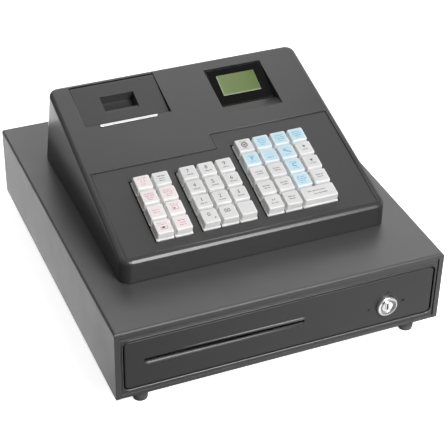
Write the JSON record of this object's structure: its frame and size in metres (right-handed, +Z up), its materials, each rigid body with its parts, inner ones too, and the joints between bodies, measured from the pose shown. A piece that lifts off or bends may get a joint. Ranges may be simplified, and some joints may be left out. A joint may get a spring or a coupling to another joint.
{
  "type": "cash register",
  "caption": "Compact electronic cash register: sloping key deck with receipt printer and small display on a steel cash drawer.",
  "frame": {"origin": "middle of the footprint, on the surface that the rubber feet stand on", "axes": "+X to the right of the person at the keys, +Y to the back, +Z up"},
  "size_m": [0.335, 0.3748, 0.1777],
  "materials": {
    "housing_paint": "fine-textured black powder coat",
    "frame_paint": "fine-textured black powder coat",
    "foot_rubber": "matt moulded rubber",
    "drawer_paint": "smooth satin black paint",
    "tray_steel": "black painted steel",
    "till_plastic": "moulded polystyrene, fine grain",
    "clip_steel": "zinc plated wire and strip",
    "lock_chrome": "bright chrome plate",
    "release_metal": "zinc plated steel",
    "base_plastic": "moulded ABS",
    "case_plastic": "fine spark-eroded texture, charcoal",
    "keyboard_plastic": "fine spark-eroded texture, charcoal",
    "lid_plastic": "fine spark-eroded texture, charcoal",
    "tear_steel": "bright stainless steel",
    "window_gloss": "polished black acrylic",
    "lcd_green": "yellow-green liquid crystal glass",
    "printer_plastic": "glass-filled nylon",
    "platen_rubber": "ground rubber on steel",
    "switch_plastic": "black switch housings on a board",
    "inlet_plastic": "moulded nylon",
    "key_white": "satin white",
    "key_warm": "satin white with pink lettering bars",
    "key_grey": "satin white, cool",
    "key_blue": "satin light blue"
  },
  "bodies": {
    "housing": {"housing_cover": "housing_paint", "housing_chassis": "frame_paint", "rubber_feet": "foot_rubber", "drawer_release": "release_metal", "base_case": "base_plastic", "keyboard_cover": "keyboard_plastic", "upper_cover": "case_plastic", "tear_bar": "tear_steel", "display_window": "window_gloss", "lcd_module": "lcd_green", "printer_mechanism": "printer_plastic", "key_switches": "switch_plastic", "power_inlet": "inlet_plastic"},
    "drawer": {"drawer_front": "drawer_paint", "drawer_tray": "tray_steel", "till_insert": "till_plastic", "lock_barrel": "lock_chrome"},
    "bill_clips": {"bill_clips": "clip_steel"},
    "lock_plug": {"lock_plug": "lock_chrome"},
    "printer_lid": {"printer_lid": "lid_plastic"},
    "platen_roller": {"platen_roller": "platen_rubber"},
    "key_left_r1_c1": {"key_left_r1_c1": "key_warm"},
    "key_left_r1_c2": {"key_left_r1_c2": "key_warm"},
    "key_left_r2_c1": {"key_left_r2_c1": "key_warm"},
    "key_left_r2_c2": {"key_left_r2_c2": "key_warm"},
    "key_left_r3_c1": {"key_left_r3_c1": "key_warm"},
    "key_left_r3_c2": {"key_left_r3_c2": "key_warm"},
    "key_left_r4_c1": {"key_left_r4_c1": "key_warm"},
    "key_left_r4_c2": {"key_left_r4_c2": "key_grey"},
    "key_middle_r1_c1": {"key_middle_r1_c1": "key_white"},
    "key_middle_r1_c2": {"key_middle_r1_c2": "key_white"},
    "key_middle_r1_c3": {"key_middle_r1_c3": "key_white"},
    "key_middle_r2_c1": {"key_middle_r2_c1": "key_white"},
    "key_middle_r2_c2": {"key_middle_r2_c2": "key_white"},
    "key_middle_r2_c3": {"key_middle_r2_c3": "key_white"},
    "key_middle_r3_c1": {"key_middle_r3_c1": "key_white"},
    "key_middle_r3_c2": {"key_middle_r3_c2": "key_white"},
    "key_middle_r3_c3": {"key_middle_r3_c3": "key_white"},
    "key_middle_r4_c1": {"key_middle_r4_c1": "key_white"},
    "key_middle_r4_c2": {"key_middle_r4_c2": "key_white"},
    "key_middle_r4_c3": {"key_middle_r4_c3": "key_white"},
    "key_right_r1_c1": {"key_right_r1_c1": "key_white"},
    "key_right_r1_c2": {"key_right_r1_c2": "key_white"},
    "key_right_r1_c3": {"key_right_r1_c3": "key_white"},
    "key_right_r2_c1": {"key_right_r2_c1": "key_white"},
    "key_right_r2_c2": {"key_right_r2_c2": "key_white"},
    "key_right_r2_c3": {"key_right_r2_c3": "key_blue"},
    "key_right_r2_c4": {"key_right_r2_c4": "key_white"},
    "key_right_r3_c1": {"key_right_r3_c1": "key_white"},
    "key_right_r3_c2": {"key_right_r3_c2": "key_white"},
    "key_right_r3_c3": {"key_right_r3_c3": "key_blue"},
    "key_right_r3_c4": {"key_right_r3_c4": "key_white"},
    "key_right_r4_c1": {"key_right_r4_c1": "key_blue"},
    "key_right_r4_c2": {"key_right_r4_c2": "key_blue"},
    "key_right_r4_c3": {"key_right_r4_c3": "key_blue"},
    "key_right_r4_c4": {"key_right_r4_c4": "key_white"},
    "key_right_r5_c1": {"key_right_r5_c1": "key_white"},
    "key_right_r5_c2": {"key_right_r5_c2": "key_blue"},
    "key_right_r5_c3": {"key_right_r5_c3": "key_blue"},
    "key_right_r5_c4": {"key_right_r5_c4": "key_blue"}
  },
  "joints": [
    {"name": "drawer_slide", "type": "slide", "parent": "housing", "child": "drawer", "axis": [0, -1, 0], "range_m": [0, 0.25]},
    {"name": "lid_hinge", "type": "hinge", "parent": "housing", "child": "printer_lid", "pos_m": [-0.0698, 0.09947, 0.17402], "axis": [-1, 0, 0], "range_deg": [0, 100]},
    {"name": "lock_turn", "type": "hinge", "parent": "drawer", "child": "lock_plug", "pos_m": [0.109, -0.1774, 0.0445], "axis": [0, 1, 0], "range_deg": [0, 90]},
    {"name": "platen_spin", "type": "hinge", "parent": "housing", "child": "platen_roller", "pos_m": [-0.07, 0.0545, 0.1455], "axis": [1, 0, 0], "continuous": true},
    {"name": "bill_clip_lift", "type": "hinge", "parent": "drawer", "child": "bill_clips", "pos_m": [0, 0.138, 0.0654], "axis": [-1, 0, 0], "range_deg": [0, 18], "stiffness_Nm_per_rad": 0.1, "springref_deg": -17.19},
    {"name": "press_key_left_r1_c1", "type": "slide", "parent": "housing", "child": "key_left_r1_c1", "axis": [0, 0.2714, -0.9625], "range_m": [0, 0.0035], "stiffness_N_per_m": 150, "springref_m": -0.002},
    {"name": "press_key_left_r1_c2", "type": "slide", "parent": "housing", "child": "key_left_r1_c2", "axis": [0, 0.2714, -0.9625], "range_m": [0, 0.0035], "stiffness_N_per_m": 150, "springref_m": -0.002},
    {"name": "press_key_left_r2_c1", "type": "slide", "parent": "housing", "child": "key_left_r2_c1", "axis": [0, 0.2714, -0.9625], "range_m": [0, 0.0035], "stiffness_N_per_m": 150, "springref_m": -0.002},
    {"name": "press_key_left_r2_c2", "type": "slide", "parent": "housing", "child": "key_left_r2_c2", "axis": [0, 0.2714, -0.9625], "range_m": [0, 0.0035], "stiffness_N_per_m": 150, "springref_m": -0.002},
    {"name": "press_key_left_r3_c1", "type": "slide", "parent": "housing", "child": "key_left_r3_c1", "axis": [0, 0.2714, -0.9625], "range_m": [0, 0.0035], "stiffness_N_per_m": 150, "springref_m": -0.002},
    {"name": "press_key_left_r3_c2", "type": "slide", "parent": "housing", "child": "key_left_r3_c2", "axis": [0, 0.2714, -0.9625], "range_m": [0, 0.0035], "stiffness_N_per_m": 150, "springref_m": -0.002},
    {"name": "press_key_left_r4_c1", "type": "slide", "parent": "housing", "child": "key_left_r4_c1", "axis": [0, 0.2714, -0.9625], "range_m": [0, 0.0035], "stiffness_N_per_m": 150, "springref_m": -0.002},
    {"name": "press_key_left_r4_c2", "type": "slide", "parent": "housing", "child": "key_left_r4_c2", "axis": [0, 0.2714, -0.9625], "range_m": [0, 0.0035], "stiffness_N_per_m": 150, "springref_m": -0.002},
    {"name": "press_key_middle_r1_c1", "type": "slide", "parent": "housing", "child": "key_middle_r1_c1", "axis": [0, 0.2714, -0.9625], "range_m": [0, 0.0035], "stiffness_N_per_m": 150, "springref_m": -0.002},
    {"name": "press_key_middle_r1_c2", "type": "slide", "parent": "housing", "child": "key_middle_r1_c2", "axis": [0, 0.2714, -0.9625], "range_m": [0, 0.0035], "stiffness_N_per_m": 150, "springref_m": -0.002},
    {"name": "press_key_middle_r1_c3", "type": "slide", "parent": "housing", "child": "key_middle_r1_c3", "axis": [0, 0.2714, -0.9625], "range_m": [0, 0.0035], "stiffness_N_per_m": 150, "springref_m": -0.002},
    {"name": "press_key_middle_r2_c1", "type": "slide", "parent": "housing", "child": "key_middle_r2_c1", "axis": [0, 0.2714, -0.9625], "range_m": [0, 0.0035], "stiffness_N_per_m": 150, "springref_m": -0.002},
    {"name": "press_key_middle_r2_c2", "type": "slide", "parent": "housing", "child": "key_middle_r2_c2", "axis": [0, 0.2714, -0.9625], "range_m": [0, 0.0035], "stiffness_N_per_m": 150, "springref_m": -0.002},
    {"name": "press_key_middle_r2_c3", "type": "slide", "parent": "housing", "child": "key_middle_r2_c3", "axis": [0, 0.2714, -0.9625], "range_m": [0, 0.0035], "stiffness_N_per_m": 150, "springref_m": -0.002},
    {"name": "press_key_middle_r3_c1", "type": "slide", "parent": "housing", "child": "key_middle_r3_c1", "axis": [0, 0.2714, -0.9625], "range_m": [0, 0.0035], "stiffness_N_per_m": 150, "springref_m": -0.002},
    {"name": "press_key_middle_r3_c2", "type": "slide", "parent": "housing", "child": "key_middle_r3_c2", "axis": [0, 0.2714, -0.9625], "range_m": [0, 0.0035], "stiffness_N_per_m": 150, "springref_m": -0.002},
    {"name": "press_key_middle_r3_c3", "type": "slide", "parent": "housing", "child": "key_middle_r3_c3", "axis": [0, 0.2714, -0.9625], "range_m": [0, 0.0035], "stiffness_N_per_m": 150, "springref_m": -0.002},
    {"name": "press_key_middle_r4_c1", "type": "slide", "parent": "housing", "child": "key_middle_r4_c1", "axis": [0, 0.2714, -0.9625], "range_m": [0, 0.0035], "stiffness_N_per_m": 150, "springref_m": -0.002},
    {"name": "press_key_middle_r4_c2", "type": "slide", "parent": "housing", "child": "key_middle_r4_c2", "axis": [0, 0.2714, -0.9625], "range_m": [0, 0.0035], "stiffness_N_per_m": 150, "springref_m": -0.002},
    {"name": "press_key_middle_r4_c3", "type": "slide", "parent": "housing", "child": "key_middle_r4_c3", "axis": [0, 0.2714, -0.9625], "range_m": [0, 0.0035], "stiffness_N_per_m": 150, "springref_m": -0.002},
    {"name": "press_key_right_r1_c1", "type": "slide", "parent": "housing", "child": "key_right_r1_c1", "axis": [0, 0.2714, -0.9625], "range_m": [0, 0.0035], "stiffness_N_per_m": 150, "springref_m": -0.002},
    {"name": "press_key_right_r1_c2", "type": "slide", "parent": "housing", "child": "key_right_r1_c2", "axis": [0, 0.2714, -0.9625], "range_m": [0, 0.0035], "stiffness_N_per_m": 150, "springref_m": -0.002},
    {"name": "press_key_right_r1_c3", "type": "slide", "parent": "housing", "child": "key_right_r1_c3", "axis": [0, 0.2714, -0.9625], "range_m": [0, 0.0035], "stiffness_N_per_m": 150, "springref_m": -0.002},
    {"name": "press_key_right_r2_c1", "type": "slide", "parent": "housing", "child": "key_right_r2_c1", "axis": [0, 0.2714, -0.9625], "range_m": [0, 0.0035], "stiffness_N_per_m": 150, "springref_m": -0.002},
    {"name": "press_key_right_r2_c2", "type": "slide", "parent": "housing", "child": "key_right_r2_c2", "axis": [0, 0.2714, -0.9625], "range_m": [0, 0.0035], "stiffness_N_per_m": 150, "springref_m": -0.002},
    {"name": "press_key_right_r2_c3", "type": "slide", "parent": "housing", "child": "key_right_r2_c3", "axis": [0, 0.2714, -0.9625], "range_m": [0, 0.0035], "stiffness_N_per_m": 150, "springref_m": -0.002},
    {"name": "press_key_right_r2_c4", "type": "slide", "parent": "housing", "child": "key_right_r2_c4", "axis": [0, 0.2714, -0.9625], "range_m": [0, 0.0035], "stiffness_N_per_m": 150, "springref_m": -0.002},
    {"name": "press_key_right_r3_c1", "type": "slide", "parent": "housing", "child": "key_right_r3_c1", "axis": [0, 0.2714, -0.9625], "range_m": [0, 0.0035], "stiffness_N_per_m": 150, "springref_m": -0.002},
    {"name": "press_key_right_r3_c2", "type": "slide", "parent": "housing", "child": "key_right_r3_c2", "axis": [0, 0.2714, -0.9625], "range_m": [0, 0.0035], "stiffness_N_per_m": 150, "springref_m": -0.002},
    {"name": "press_key_right_r3_c3", "type": "slide", "parent": "housing", "child": "key_right_r3_c3", "axis": [0, 0.2714, -0.9625], "range_m": [0, 0.0035], "stiffness_N_per_m": 150, "springref_m": -0.002},
    {"name": "press_key_right_r3_c4", "type": "slide", "parent": "housing", "child": "key_right_r3_c4", "axis": [0, 0.2714, -0.9625], "range_m": [0, 0.0035], "stiffness_N_per_m": 150, "springref_m": -0.002},
    {"name": "press_key_right_r4_c1", "type": "slide", "parent": "housing", "child": "key_right_r4_c1", "axis": [0, 0.2714, -0.9625], "range_m": [0, 0.0035], "stiffness_N_per_m": 150, "springref_m": -0.002},
    {"name": "press_key_right_r4_c2", "type": "slide", "parent": "housing", "child": "key_right_r4_c2", "axis": [0, 0.2714, -0.9625], "range_m": [0, 0.0035], "stiffness_N_per_m": 150, "springref_m": -0.002},
    {"name": "press_key_right_r4_c3", "type": "slide", "parent": "housing", "child": "key_right_r4_c3", "axis": [0, 0.2714, -0.9625], "range_m": [0, 0.0035], "stiffness_N_per_m": 150, "springref_m": -0.002},
    {"name": "press_key_right_r4_c4", "type": "slide", "parent": "housing", "child": "key_right_r4_c4", "axis": [0, 0.2714, -0.9625], "range_m": [0, 0.0035], "stiffness_N_per_m": 150, "springref_m": -0.002},
    {"name": "press_key_right_r5_c1", "type": "slide", "parent": "housing", "child": "key_right_r5_c1", "axis": [0, 0.2714, -0.9625], "range_m": [0, 0.0035], "stiffness_N_per_m": 150, "springref_m": -0.002},
    {"name": "press_key_right_r5_c2", "type": "slide", "parent": "housing", "child": "key_right_r5_c2", "axis": [0, 0.2714, -0.9625], "range_m": [0, 0.0035], "stiffness_N_per_m": 150, "springref_m": -0.002},
    {"name": "press_key_right_r5_c3", "type": "slide", "parent": "housing", "child": "key_right_r5_c3", "axis": [0, 0.2714, -0.9625], "range_m": [0, 0.0035], "stiffness_N_per_m": 150, "springref_m": -0.002},
    {"name": "press_key_right_r5_c4", "type": "slide", "parent": "housing", "child": "key_right_r5_c4", "axis": [0, 0.2714, -0.9625], "range_m": [0, 0.0035], "stiffness_N_per_m": 150, "springref_m": -0.002}
  ]
}
